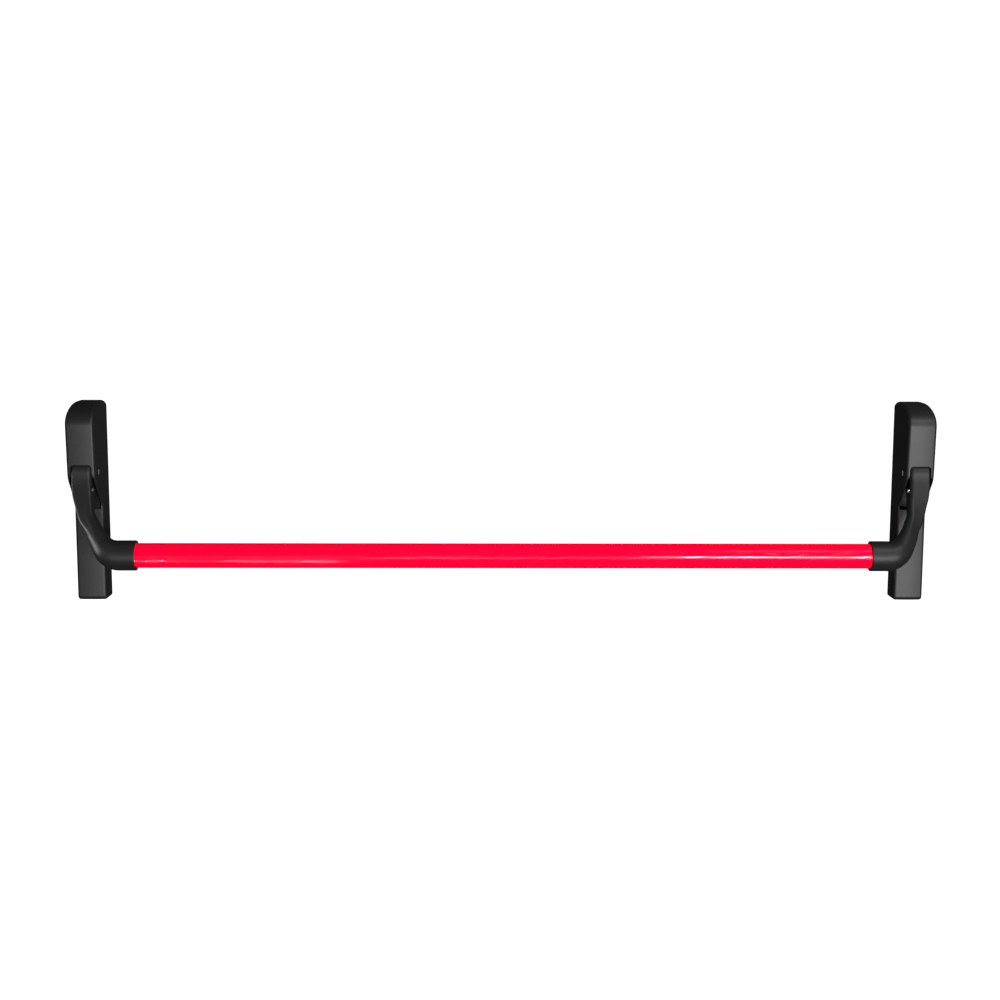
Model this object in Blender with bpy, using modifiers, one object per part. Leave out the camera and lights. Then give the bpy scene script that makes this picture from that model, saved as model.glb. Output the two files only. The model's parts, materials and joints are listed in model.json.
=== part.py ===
"""Panic exit bar for the inside of an escape door.

A red bar tube hangs on two arms that swing on pivot pins inside two end housings. Pushing the
bar towards the door turns both arms. In the active housing the arm's tail lifts a slide, and
the slide turns the square-socket hub that works the lock in the door.

World frame: the door's surface is the plane Y = 0 and the user stands on the -Y side. +X runs
along the bar from the active housing to the passive one, and +Z is up. The origin is the centre
of the active base plate's back face. A housing is drawn with x = 0 on its own middle and +x
towards the bar, and the passive housing is its mirror image.
"""

import math

import bmesh
import bpy
from mathutils import Matrix, Vector

MM = 0.001
GAP = 0.3 * MM

# ---------------------------------------------------------------- driving dimensions
HOUSING_SPACING = 1022 * MM
HOUSING_HEIGHT = 248 * MM

COVER_WIDTH_AT_DOOR = 37.0 * MM
COVER_TAPER = 2.6 / 68
COVER_WALL = 2.0 * MM
COVER_DEPTH = 68 * MM
COVER_LOW_DEPTH = 30 * MM
COVER_TOP_SWEEP = 50 * MM
COVER_TOP_DROP = 27 * MM

SLOT_TOP = 49.5 * MM
SLOT_BOTTOM = -9.0 * MM
SLOT_WIDTH = 26.0 * MM
SLOT_WIDE = 30.0 * MM
SLOT_WIDE_TOP = 33 * MM

PIVOT_Y = -45 * MM
PIVOT_Z = 39 * MM
PIN_RADIUS = 3 * MM

BAR_Y = -100 * MM
BAR_Z = -55 * MM
# The bar sits a little off the housings' middles, and the arms' necks lean over to meet it.
BAR_OFFSET = 2.3 * MM
TUBE_RADIUS = 15 * MM
TUBE_WALL = 1.5 * MM
SOCKET_END = 70.7 * MM
SOCKET_FLOOR = 46.0 * MM
SOCKET_RADIUS = 18.2 * MM
GRUB_X = 58.5 * MM

HUB_RADIUS = 18 * MM
HUB_HALF_WIDTH = 12 * MM
BORE_RADIUS = TUBE_RADIUS + 0.35 * MM
PUSH_ANGLE = math.radians(24)

PLATE_THICKNESS = 3 * MM
PLATE_HALF_WIDTH = 15.7 * MM
PLATE_HALF_HEIGHT = 121.4 * MM
PLATE_FRONT = -PLATE_THICKNESS - GAP

CHEEK_INNER = 13.2 * MM
CHEEK_OUTER = 14.8 * MM
RIVET_X = -7 * MM
RIVET_HEIGHTS = (20 * MM, 58 * MM)
RIVET_RADIUS = 2.2 * MM
ANCHOR_Y = -42.1 * MM
ANCHOR_Z = 60 * MM
ANCHOR_RADIUS = 1.5 * MM
SPRING_PIN_Y = -61 * MM
SPRING_PIN_Z = 19 * MM
SPRING_PIN_RADIUS = 2.2 * MM
CHANNEL_HALF_WIDTH = 5.5 * MM

HUB_Z = -36 * MM
SPINDLE_SQUARE = 9.2 * MM
CRANK_RADIUS = 12 * MM
CRANK_PIN_RADIUS = 1.8 * MM
SLIDE_BACK = -21 * MM
SLIDE_FRONT = -25 * MM
TAIL_WINDOW = 6.6 * MM
STUD_X = -9 * MM
STUD_HEIGHTS = (-24 * MM, -50 * MM)
STUD_RADIUS = 2.5 * MM
RETAINER_SCREW_DROP = 18.5 * MM
SEAT_TOP = -68 * MM
SEAT_BOTTOM = -70 * MM

# The arm's tail works on the slide at the middle of the slide's thickness.
TAIL_LEVER = (SLIDE_BACK + SLIDE_FRONT) / 2 - PIVOT_Y
TAIL_ANGLE = PUSH_ANGLE / 2
SLIDE_TRAVEL = 2 * TAIL_LEVER * math.tan(TAIL_ANGLE)
CRANK_ANGLE = math.asin(SLIDE_TRAVEL / 2 / CRANK_RADIUS)

BLACK = (0.022, 0.022, 0.024)
BLACK_SHEET = ((0.012, 0.012, 0.013), 0.5, 0.0)


class Side:
    """One end of the bar, which places a housing drawing in the world."""

    def __init__(self, name, middle, inward):
        self.name = name
        self.inward = inward
        self.matrix = Matrix.Translation((middle, 0, 0)) @ Matrix.Scale(inward, 4, (1, 0, 0))


LEFT = Side("left", 0.0, 1)
RIGHT = Side("right", HOUSING_SPACING, -1)


# ---------------------------------------------------------------- scene helpers
def clear_scene():
    for thing in list(bpy.data.objects):
        bpy.data.objects.remove(thing, do_unlink=True)


def new_collection(name):
    made = bpy.data.collections.new(name)
    bpy.context.scene.collection.children.link(made)
    return made


def new_material(name, colour, roughness, metallic):
    made = bpy.data.materials.new(name)
    made.use_nodes = True
    shader = made.node_tree.nodes["Principled BSDF"]
    shader.inputs["Base Color"].default_value = (*colour, 1)
    shader.inputs["Roughness"].default_value = roughness
    shader.inputs["Metallic"].default_value = metallic
    return made


def joint_empty(name, place):
    made = bpy.data.objects.new(name, None)
    made.location = place
    made.empty_display_size = 0.02
    PARTS.objects.link(made)
    return made


def to_mesh(bm, name, side):
    bmesh.ops.recalc_face_normals(bm, faces=bm.faces)
    bmesh.ops.transform(bm, matrix=side.matrix, verts=bm.verts)
    if side.inward < 0:
        bmesh.ops.reverse_faces(bm, faces=bm.faces)
    mesh = bpy.data.meshes.new(name)
    bm.to_mesh(mesh)
    bm.free()
    return mesh


def add_part(name, bm, finish, side=LEFT, parent=None):
    """Makes the object that one piece is, on its joint's empty if it moves."""
    mesh = to_mesh(bm, name, side)
    mesh.shade_smooth()
    mesh.set_sharp_from_angle(angle=math.radians(35))
    mesh.materials.append(new_material(name, *finish))
    made = bpy.data.objects.new(name, mesh)
    PARTS.objects.link(made)
    if parent:
        mesh.transform(Matrix.Translation(-parent.location))
        made.parent = parent
    return made


def shape(part, bm, side=LEFT, join=False):
    """Cuts the solid bm out of a part, or joins it on."""
    name = f"{part.name}_tool_{len(part.modifiers)}"
    tool = bpy.data.objects.new(name, to_mesh(bm, name, side))
    tool.hide_render = True
    tool.display_type = "WIRE"
    TOOLS.objects.link(tool)
    change = part.modifiers.new(name, "BOOLEAN")
    change.operation = "UNION" if join else "DIFFERENCE"
    change.solver = "EXACT"
    change.object = tool


# ---------------------------------------------------------------- solids
def box(low, high):
    bm = bmesh.new()
    bmesh.ops.create_cube(bm, size=1)
    middle = (Vector(low) + Vector(high)) / 2
    extent = Vector(high) - Vector(low)
    bmesh.ops.scale(bm, vec=extent, verts=bm.verts)
    bmesh.ops.translate(bm, vec=middle, verts=bm.verts)
    return bm


def rod(axis, start, end, radius, segments=20, end_radius=None):
    """A round bar or cone along X, Y or Z, from one centre to the other."""
    turn = {
        "X": Matrix.Rotation(math.pi / 2, 4, "Y"),
        "Y": Matrix.Rotation(-math.pi / 2, 4, "X"),
        "Z": Matrix.Identity(4),
    }[axis]
    bm = bmesh.new()
    start, end = Vector(start), Vector(end)
    bmesh.ops.create_cone(
        bm,
        cap_ends=True,
        segments=segments,
        radius1=radius,
        radius2=radius if end_radius is None else end_radius,
        depth=(end - start).length,
    )
    bmesh.ops.transform(bm, matrix=Matrix.Translation((start + end) / 2) @ turn, verts=bm.verts)
    return bm


def along_y(x, z, back, front, radius, segments=20, front_radius=None):
    """A rod along Y whose first radius is at the door side."""
    end_radius = radius if front_radius is None else front_radius
    return rod("Y", (x, front, z), (x, back, z), end_radius, segments, radius)


def extruded(outline, plane, start, end):
    """A flat outline drawn in the XZ or YZ plane and pulled through from start to end."""
    bm = bmesh.new()
    if plane == "XZ":
        corners = [bm.verts.new((a, start, b)) for a, b in outline]
        pull = (0, end - start, 0)
    else:
        corners = [bm.verts.new((start, a, b)) for a, b in outline]
        pull = (end - start, 0, 0)
    face = bm.faces.new(corners)
    grown = bmesh.ops.extrude_face_region(bm, geom=[face])["geom"]
    moved = [g for g in grown if isinstance(g, bmesh.types.BMVert)]
    bmesh.ops.translate(bm, vec=pull, verts=moved)
    return bm


def rounded(corners, steps=5):
    """An outline from (a, b, radius) corners, with an arc at each corner that has a radius."""
    outline = []
    count = len(corners)
    for n, (a, b, radius) in enumerate(corners):
        here = Vector((a, b))
        if not radius:
            outline.append((a, b))
            continue
        before = (Vector(corners[n - 1][:2]) - here).normalized()
        after = (Vector(corners[(n + 1) % count][:2]) - here).normalized()
        half = before.angle(after) / 2
        reach = radius / math.tan(half)
        centre = here + (before + after).normalized() * radius / math.sin(half)
        first = here + before * reach - centre
        last = here + after * reach - centre
        turn = first.angle_signed(last)
        for step in range(steps + 1):
            spun = Matrix.Rotation(-turn * step / steps, 2) @ first
            outline.append(tuple(centre + spun))
    return outline


def rectangle(low_a, high_a, low_b, high_b, radius, steps=5):
    return rounded(
        [(low_a, low_b, radius), (high_a, low_b, radius), (high_a, high_b, radius), (low_a, high_b, radius)],
        steps,
    )


def turned(profile, axis, centre, segments=32):
    """A solid of revolution from (radius, distance along the axis) points on a closed outline."""
    bm = bmesh.new()
    out = Vector((0, 0, 1)) if axis != "Z" else Vector((1, 0, 0))
    way = {"X": Vector((1, 0, 0)), "Y": Vector((0, 1, 0)), "Z": Vector((0, 0, 1))}[axis]
    centre = Vector(centre)
    verts = [bm.verts.new(centre + out * r + way * t) for r, t in profile]
    edges = [bm.edges.new((verts[n], verts[(n + 1) % len(verts)])) for n in range(len(verts))]
    bmesh.ops.spin(
        bm, geom=edges, axis=way, cent=centre, angle=math.tau, steps=segments, use_merge=True
    )
    bmesh.ops.remove_doubles(bm, verts=bm.verts, dist=0.000001)
    flat = [e for e in bm.edges if not e.link_faces]
    bmesh.ops.delete(bm, geom=flat, context="EDGES")
    return bm


def wire(name, points, radius, finish, side):
    """A round wire through the points, as a bevelled curve."""
    curve = bpy.data.curves.new(name, "CURVE")
    curve.dimensions = "3D"
    curve.bevel_depth = radius
    curve.bevel_resolution = 2
    curve.use_fill_caps = True
    spline = curve.splines.new("POLY")
    spline.points.add(len(points) - 1)
    for point, place in zip(spline.points, points):
        point.co = (*(side.matrix @ Vector(place)), 1)
    curve.materials.append(new_material(name, *finish))
    made = bpy.data.objects.new(name, curve)
    PARTS.objects.link(made)
    return made


# ---------------------------------------------------------------- housing
def cover_half_width(depth):
    return (COVER_WIDTH_AT_DOOR - COVER_TAPER * abs(depth)) / 2


def swept_corner(start, corner, end, steps):
    """A quarter of an ellipse inside a corner, tangent to both of the corner's sides."""
    pull = 2 * math.cos(math.pi / 4)
    points = []
    for step in range(steps + 1):
        t = step / steps
        a, b, c = (1 - t) ** 2, pull * t * (1 - t), t**2
        points.append(tuple((start * a + corner * b + end * c) / (a + b + c)))
    return points


def cover_profile():
    """The cover's side view: a deep head with a swept top, a slope, and a shallow lower part."""
    half = HOUSING_HEIGHT / 2
    knee = Vector((-63.1 * MM, 31.4 * MM))
    corner = Vector((-COVER_DEPTH - 1 * MM, half))
    start = corner + Vector((COVER_TOP_SWEEP, 0))
    end = corner + (knee - corner).normalized() * COVER_TOP_DROP
    lower = rounded(
        [
            (*end, 0),
            (*knee, 22 * MM),
            (-COVER_LOW_DEPTH, -2.5 * MM, 10 * MM),
            (-COVER_LOW_DEPTH, -half, 5.2 * MM),
            (0, -half, 0),
        ],
        steps=7,
    )
    return [(0, half)] + swept_corner(start, corner, end, 10) + lower[1:]


def cover(side):
    """A one-piece moulded shell, open at the door side, with the arm's slot in front."""
    name = f"cover_{side.name}"
    bm = extruded(cover_profile(), "YZ", -0.5, 0.5)
    for vert in bm.verts:
        vert.co.x = math.copysign(cover_half_width(vert.co.y), vert.co.x)
    back = [f for f in bm.faces if all(abs(v.co.y) < 0.01 * MM for v in f.verts)]
    bmesh.ops.delete(bm, geom=back, context="FACES_ONLY")
    loose = [e for e in bm.edges if not e.link_faces]
    bmesh.ops.delete(bm, geom=loose, context="EDGES")
    part = add_part(name, bm, (BLACK, 0.45, 0.0), side)
    weigh_cover_edges(part.data, side)
    soften = part.modifiers.new("soft_edges", "BEVEL")
    soften.limit_method = "WEIGHT"
    soften.width = 7.5 * MM
    soften.segments = 3
    soften.use_clamp_overlap = False
    wall = part.modifiers.new("wall", "SOLIDIFY")
    wall.thickness = COVER_WALL
    wall.offset = -1
    wall.use_even_offset = True
    shape(part, slot_upper(), side)
    shape(part, slot_lower(), side)
    shape(part, rod("X", (10 * MM, PIVOT_Y, PIVOT_Z), (30 * MM, PIVOT_Y, PIVOT_Z), 4.1 * MM, 24), side)
    shape(part, cover_screw_hole(), side)
    return part


def weigh_cover_edges(mesh, side):
    """Large corners round the top and slim ones down the front and at the foot."""
    middle = side.matrix.translation.x
    weights = mesh.attributes.new("bevel_weight_edge", "FLOAT", "EDGE")
    for edge in mesh.edges:
        a, b = (mesh.vertices[v].co for v in edge.vertices)
        if abs(abs(a.x - middle) - cover_half_width(a.y)) > 0.01 * MM:
            continue
        if (a.x - middle) * (b.x - middle) < 0:
            continue
        height = (a.z + b.z) / 2
        depth = abs(a.y + b.y) / 2
        if abs(a.y) < 0.01 * MM and abs(b.y) < 0.01 * MM:
            weight = 0.0
        elif height > 95 * MM:
            weight = 1.0 - 0.62 * max(0.0, (depth - 40 * MM) / (28 * MM))
        else:
            weight = 0.4
        weights.data[edge.index].value = weight


def slot_upper():
    """The slot between the front lips, with round top corners."""
    half = SLOT_WIDTH / 2
    outline = rounded(
        [(-half, SLOT_TOP, 4.5 * MM), (half, SLOT_TOP, 4.5 * MM), (half, 20 * MM, 0), (-half, 20 * MM, 0)]
    )
    return extruded(outline, "XZ", -80 * MM, -50 * MM)


def slot_lower():
    """The wide mouth below the lips, which leaves only the side walls."""
    half = SLOT_WIDE / 2
    lip = SLOT_WIDTH / 2 - 1 * MM
    shoulder = SLOT_WIDE_TOP + 4 * MM
    outline = rounded(
        [
            (-lip, shoulder, 0),
            (lip, shoulder, 0),
            (half, SLOT_WIDE_TOP, 4 * MM),
            (half, SLOT_BOTTOM, 0),
            (-half, SLOT_BOTTOM, 0),
            (-half, SLOT_WIDE_TOP, 4 * MM),
        ]
    )
    return extruded(outline, "XZ", -80 * MM, -20 * MM)


def cover_screw_hole():
    foot = -HOUSING_HEIGHT / 2
    return turned(
        [
            (0, -1 * MM),
            (4.4 * MM, -1 * MM),
            (4.4 * MM, 0.4 * MM),
            (2.3 * MM, 2.4 * MM),
            (2.3 * MM, 6 * MM),
            (0, 6 * MM),
        ],
        "Z",
        (0, -10 * MM, foot),
        16,
    )


def base_plate(side, active):
    """A flat steel plate with a turned-up foot that takes the cover's screw."""
    outline = rectangle(
        -PLATE_HALF_WIDTH, PLATE_HALF_WIDTH, -PLATE_HALF_HEIGHT, PLATE_HALF_HEIGHT, 5.8 * MM
    )
    bm = extruded(outline, "XZ", 0, -PLATE_THICKNESS)
    part = add_part(f"base_plate_{side.name}", bm, BLACK_SHEET, side)
    foot = -PLATE_HALF_HEIGHT + 0.2 * MM
    shape(part, box((-9 * MM, -16 * MM, foot), (9 * MM, -1 * MM, foot + 2.6 * MM)), side, join=True)
    hole = rod("Z", (0, -10 * MM, foot - 1 * MM), (0, -10 * MM, foot + 4 * MM), 2.0 * MM, 16)
    shape(part, hole, side)
    for height in (108 * MM, 82 * MM, -84 * MM):
        shape(part, countersunk_hole(height), side)
    if active:
        shape(part, along_y(0, HUB_Z, 1 * MM, -4 * MM, 8.4 * MM, 32), side)
    return part


def countersunk_hole(height):
    return turned(
        [
            (0, 1 * MM),
            (2.7 * MM, 1 * MM),
            (2.7 * MM, -0.8 * MM),
            (5.2 * MM, -3.1 * MM),
            (5.2 * MM, -4 * MM),
            (0, -4 * MM),
        ],
        "Y",
        (0, 0, height),
        20,
    )


def pivot_bracket(side):
    """A folded steel channel whose two cheeks carry the pivot pin."""
    web_low, web_high = 12 * MM, 66 * MM
    cheek_outline = rounded(
        [
            (PLATE_FRONT, web_low, 0),
            (PLATE_FRONT, web_high, 0),
            (-47 * MM, web_high, 6 * MM),
            (-56.5 * MM, PIVOT_Z + 11 * MM, 6 * MM),
            (-55 * MM, PIVOT_Z - 4 * MM, 5 * MM),
            (-34 * MM, PIVOT_Z - 13 * MM, 5 * MM),
            (-20 * MM, web_low, 5 * MM),
        ]
    )
    bm = extruded(cheek_outline, "YZ", -CHEEK_OUTER, CHEEK_OUTER)
    part = add_part(f"pivot_bracket_{side.name}", bm, BLACK_SHEET, side)
    inside = (CHEEK_INNER, PLATE_FRONT - 2 * MM, web_high + 5 * MM)
    shape(part, box((-CHEEK_INNER, -60 * MM, web_low - 5 * MM), inside), side)
    shelf = box((5 * MM, -20.3 * MM, 23.6 * MM), (11 * MM, PLATE_FRONT - 1 * MM, 25.4 * MM))
    shape(part, shelf, side, join=True)
    for y, z, radius in ((PIVOT_Y, PIVOT_Z, PIN_RADIUS), (ANCHOR_Y, ANCHOR_Z, ANCHOR_RADIUS)):
        shape(part, rod("X", (-20 * MM, y, z), (20 * MM, y, z), radius + GAP), side)
    for height in RIVET_HEIGHTS:
        hole = along_y(RIVET_X, height, -2 * MM, -8 * MM, RIVET_RADIUS + GAP, 16)
        shape(part, hole, side)
    return part


def rivet(name, side, height):
    """A round-headed rivet set on the base plate, through the bracket's web."""
    web_front = PLATE_FRONT - 2 * MM - GAP
    profile = [
        (0, PLATE_FRONT),
        (RIVET_RADIUS, PLATE_FRONT),
        (RIVET_RADIUS, web_front),
        (4.2 * MM, web_front),
        (3.6 * MM, web_front - 1.1 * MM),
        (2 * MM, web_front - 1.8 * MM),
        (0, web_front - 2 * MM),
    ]
    bm = turned(profile, "Y", (RIVET_X, 0, height), 16)
    return add_part(name, bm, ((0.6, 0.6, 0.6), 0.35, 1.0), side)


def pivot_pin(side):
    """A pin with a socket head that shows in the cover's side hole."""
    y, z = PIVOT_Y, PIVOT_Z
    profile = [
        (0, -14.5 * MM),
        (PIN_RADIUS - 0.5 * MM, -14.5 * MM),
        (PIN_RADIUS, -14 * MM),
        (PIN_RADIUS, 15.1 * MM),
        (3.6 * MM, 15.1 * MM),
        (3.6 * MM, 16.8 * MM),
        (3.2 * MM, 17.2 * MM),
        (0, 17.2 * MM),
    ]
    bm = turned(profile, "X", (0, y, z), 24)
    part = add_part(f"pivot_pin_{side.name}", bm, ((0.5, 0.5, 0.5), 0.3, 1.0), side)
    shape(part, rod("X", (15.6 * MM, y, z), (18 * MM, y, z), 1.7 * MM, 6), side)
    return part


def anchor_pin(side):
    y, z = ANCHOR_Y, ANCHOR_Z
    bm = rod("X", (-14.7 * MM, y, z), (14.7 * MM, y, z), ANCHOR_RADIUS, 12)
    return add_part(f"spring_anchor_{side.name}", bm, ((0.5, 0.5, 0.5), 0.35, 1.0), side)


def bump_stop(side):
    """A rubber pad on the bracket's shelf, with a sloped top that the arm's tail rests on."""
    clear = 2.5 * MM / math.cos(TAIL_ANGLE) + GAP
    back, front = -13 * MM, -20 * MM
    outline = [
        (back, 25.7 * MM),
        (back, slide_rest_line(back) - clear),
        (front, slide_rest_line(front) - clear),
        (front, 25.7 * MM),
    ]
    bm = extruded(outline, "YZ", 5.6 * MM, 10.6 * MM)
    bmesh.ops.bevel(bm, geom=list(bm.edges), offset=0.6 * MM, segments=2, affect="EDGES")
    return add_part(f"bump_stop_{side.name}", bm, ((0.03, 0.03, 0.03), 0.8, 0.0), side)


def cover_screw(side):
    """A countersunk screw under the housing, with a cross-shaped drive recess."""
    foot = -HOUSING_HEIGHT / 2
    profile = [
        (0, 0.4 * MM),
        (3.9 * MM, 0.4 * MM),
        (3.9 * MM, 0.7 * MM),
        (1.7 * MM, 2.8 * MM),
        (1.7 * MM, 9 * MM),
        (0, 10 * MM),
    ]
    bm = turned(profile, "Z", (0, -10 * MM, foot), 16)
    part = add_part(f"cover_screw_{side.name}", bm, ((0.05, 0.05, 0.05), 0.4, 0.8), side)
    for half_x, half_y in ((2.2 * MM, 0.5 * MM), (0.5 * MM, 2.2 * MM)):
        low = (-half_x, -10 * MM - half_y, foot - 1 * MM)
        high = (half_x, -10 * MM + half_y, foot + 1.5 * MM)
        shape(part, box(low, high), side)
    return part


# ---------------------------------------------------------------- arm
# Angles above the pivot at which the round hub is sliced, from its top down.
HUB_SLICES = (80, 62, 46, 32, 20, 9)
# Sections of the neck: middle x and z, tilt in degrees, half width, front, back, corner radius
# and the slimmer radius of the corner at the front on the outer side.
NECK_SECTIONS = [
    (0.0, 39.0, 0, 12.0, -63.0, -27.0, 5.0, 2.2),
    (0.0, 32.0, 1, 12.0, -64.0, -28.4, 5.0, 2.2),
    (0.3, 24.0, 4, 12.0, -66.2, -35.1, 5.0, 2.2),
    (1.6, 14.0, 10, 11.7, -70.0, -46.0, 5.0, 2.2),
    (4.2, 4.0, 16, 10.9, -75.0, -53.0, 5.2, 2.6),
    (8.8, -12.0, 26, 9.6, -85.5, -64.5, 6.5, 4.0),
    (15.3, -22.0, 32, 9.4, -94.0, -72.0, 8.0, 6.4),
    (19.9, -30.2, 34.7, 10.5, -101.5, -77.0, 10.0, 9.4),
    (27.4, -41.6, 41.2, 12.4, -111.0, -81.5, 12.4, 12.4),
    (31.8, -47.6, 57.8, 14.7, -115.0, -82.0, 14.7, 14.7),
    (37.9, -52.3, 72.7, 16.5, -117.4, -81.8, 16.5, 16.5),
    (43.8, -54.35, 83, 17.8, -118.2, -81.8, 17.8, 17.8),
]
OFFSET_START = -5 * MM
OFFSET_END = -42 * MM
RING_STEPS = 7
NECK_RINGS_PER_SPAN = 2

def ring(x, z, tilt, half_width, front, back, corner, outer_corner):
    """A rounded rectangle across the arm, in the plane of Y and the tilted width."""
    half_depth = (back - front) / 2
    middle_y = (back + front) / 2
    across = Vector((math.cos(tilt), 0, math.sin(tilt)))
    points = []
    for quarter, radius in enumerate((corner, corner, outer_corner, corner)):
        sign_u = 1 if quarter in (0, 3) else -1
        sign_v = 1 if quarter in (0, 1) else -1
        for step in range(RING_STEPS):
            angle = math.pi / 2 * (quarter + (step + 0.5) / RING_STEPS)
            u = sign_u * (half_width - radius) + radius * math.cos(angle)
            v = sign_v * (half_depth - radius) + radius * math.sin(angle)
            points.append(Vector((x, middle_y + v, z)) + across * u)
    return points


def blended(rows, per_span):
    """Catmull-Rom rows between the given ones, so that the neck curves smoothly."""
    out = []
    for n in range(len(rows) - 1):
        p0, p1 = rows[max(n - 1, 0)], rows[n]
        p2, p3 = rows[n + 1], rows[min(n + 2, len(rows) - 1)]
        for step in range(per_span):
            t = step / per_span
            row = []
            for a, b, c, d in zip(p0, p1, p2, p3):
                bend = 2 * a - 5 * b + 4 * c - d
                swing = 3 * b - a - 3 * c + d
                row.append(0.5 * (2 * b + (c - a) * t + bend * t * t + swing * t**3))
            out.append(tuple(row))
    return out + [rows[-1]]


def bar_offset_at(height, side):
    """How far a section of the arm leans towards the bar's offset, which grows smoothly."""
    share = (OFFSET_START - height) / (OFFSET_START - OFFSET_END)
    share = min(1.0, max(0.0, share))
    return side.inward * BAR_OFFSET * share**2 * (3 - 2 * share)


def socket_ring(x, radius, side):
    x += side.inward * BAR_OFFSET
    return ring(x, BAR_Z, math.pi / 2, radius, BAR_Y - radius, BAR_Y + radius, radius, radius)


def arm_rings(side):
    rings = []
    for degrees in HUB_SLICES:
        angle = math.radians(degrees)
        height = PIVOT_Z + HUB_RADIUS * math.sin(angle)
        reach = HUB_RADIUS * math.cos(angle)
        front, back = PIVOT_Y - reach, PIVOT_Y + reach
        corner, outer_corner = min(5 * MM, reach), min(2.2 * MM, reach)
        rings.append(ring(0, height, 0, HUB_HALF_WIDTH, front, back, corner, outer_corner))
    for x, z, tilt, *sizes in blended(NECK_SECTIONS, NECK_RINGS_PER_SPAN):
        half_width, front, back, corner, outer_corner = (size * MM for size in sizes)
        corner = min(corner, half_width)
        outer_corner = min(outer_corner, half_width)
        middle = x * MM + bar_offset_at(z * MM, side)
        tilt = math.radians(tilt)
        rings.append(ring(middle, z * MM, tilt, half_width, front, back, corner, outer_corner))
    rings.append(socket_ring(49.5 * MM, SOCKET_RADIUS, side))
    rings.append(socket_ring(SOCKET_END - 0.7 * MM, SOCKET_RADIUS, side))
    rings.append(socket_ring(SOCKET_END, SOCKET_RADIUS - 0.7 * MM, side))
    rings.append(socket_ring(SOCKET_END, BORE_RADIUS, side))
    rings.append(socket_ring(SOCKET_FLOOR, BORE_RADIUS, side))
    return rings


def loft(rings):
    """A skin over rings of equal length, closed at both ends."""
    bm = bmesh.new()
    rows = [[bm.verts.new(point) for point in one] for one in rings]
    count = len(rows[0])
    for upper, lower in zip(rows[:-1], rows[1:]):
        for n in range(count):
            m = (n + 1) % count
            bm.faces.new((upper[n], upper[m], lower[m], lower[n]))
    bm.faces.new(rows[0])
    bm.faces.new(list(reversed(rows[-1])))
    bmesh.ops.triangulate(bm, faces=bm.faces)
    return bm


def tail_outline():
    """The tooth behind the hub, tilted down by half the swing, with a narrowed tip."""
    along = Vector((math.cos(TAIL_ANGLE), -math.sin(TAIL_ANGLE)))
    across = Vector((math.sin(TAIL_ANGLE), math.cos(TAIL_ANGLE)))
    pivot = Vector((PIVOT_Y, PIVOT_Z))
    shape_points = [(8, 2.5), (29.5, 2.5), (31, 1.2), (31, -1.2), (29.5, -2.5), (8, -2.5)]
    return [tuple(pivot + along * a * MM + across * b * MM) for a, b in shape_points]


def arm(side, parent):
    """A cast arm: forked hub, hollow neck, curved elbow and the tube's socket."""
    part = add_part(f"arm_{side.name}", loft(arm_rings(side)), (BLACK, 0.42, 0.0), side, parent)
    channel = rounded(
        [
            (-57 * MM, 60 * MM, 0),
            (-57 * MM, 30 * MM, 3 * MM),
            (-64 * MM, 14.5 * MM, 1.5 * MM),
            (-62 * MM, 12 * MM, 1.5 * MM),
            (-20 * MM, 12 * MM, 0),
            (-20 * MM, 60 * MM, 0),
        ]
    )
    shape(part, extruded(channel, "YZ", -CHANNEL_HALF_WIDTH, CHANNEL_HALF_WIDTH), side)
    shape(part, extruded(tail_outline(), "YZ", 5.8 * MM, 10.4 * MM), side, join=True)
    y, z = PIVOT_Y, PIVOT_Z
    shape(part, rod("X", (-20 * MM, y, z), (20 * MM, y, z), 5.0 * MM + GAP, 24), side)
    y, z = SPRING_PIN_Y, SPRING_PIN_Z
    pin_hole = rod("X", (-9.3 * MM, y, z), (20 * MM, y, z), SPRING_PIN_RADIUS + GAP, 24)
    shape(part, pin_hole, side)
    grub_x = GRUB_X + side.inward * BAR_OFFSET
    grub_hole = along_y(grub_x, BAR_Z, BAR_Y + 22 * MM, BAR_Y + 10 * MM, 2.8 * MM, 16)
    shape(part, grub_hole, side)
    return part


def grub_screw(side, parent):
    """A socket set screw at the back of the arm's socket, against the tube."""
    grub_x = GRUB_X + side.inward * BAR_OFFSET
    bm = along_y(grub_x, BAR_Z, BAR_Y + 17.9 * MM, BAR_Y + TUBE_RADIUS + GAP, 2.5 * MM, 16)
    part = add_part(f"grub_screw_{side.name}", bm, ((0.1, 0.1, 0.1), 0.4, 1.0), side, parent)
    hexagon = along_y(grub_x, BAR_Z, BAR_Y + 19 * MM, BAR_Y + 16.4 * MM, 1.3 * MM, 6)
    shape(part, hexagon, side)
    return part


def bush(name, side, parent, outward):
    """A flanged nylon bush in one ear of the hub."""
    profile = [
        (PIN_RADIUS + 0.1 * MM, 5.8 * MM),
        (5 * MM, 5.8 * MM),
        (5 * MM, 12.35 * MM),
        (6.8 * MM, 12.35 * MM),
        (6.8 * MM, 12.95 * MM),
        (PIN_RADIUS + 0.1 * MM, 12.95 * MM),
    ]
    bm = turned([(r, outward * t) for r, t in profile], "X", (0, PIVOT_Y, PIVOT_Z), 24)
    return add_part(name, bm, ((0.8, 0.8, 0.76), 0.5, 0.0), side, parent)


def spring_pin(side, parent):
    """The roll pin across the neck that takes the spring's long leg. Its inner end stands proud."""
    y, z = SPRING_PIN_Y, SPRING_PIN_Z
    bm = rod("X", (-9 * MM, y, z), (14 * MM, y, z), SPRING_PIN_RADIUS, 16)
    return add_part(f"spring_pin_{side.name}", bm, ((0.7, 0.7, 0.7), 0.25, 1.0), side, parent)


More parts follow.
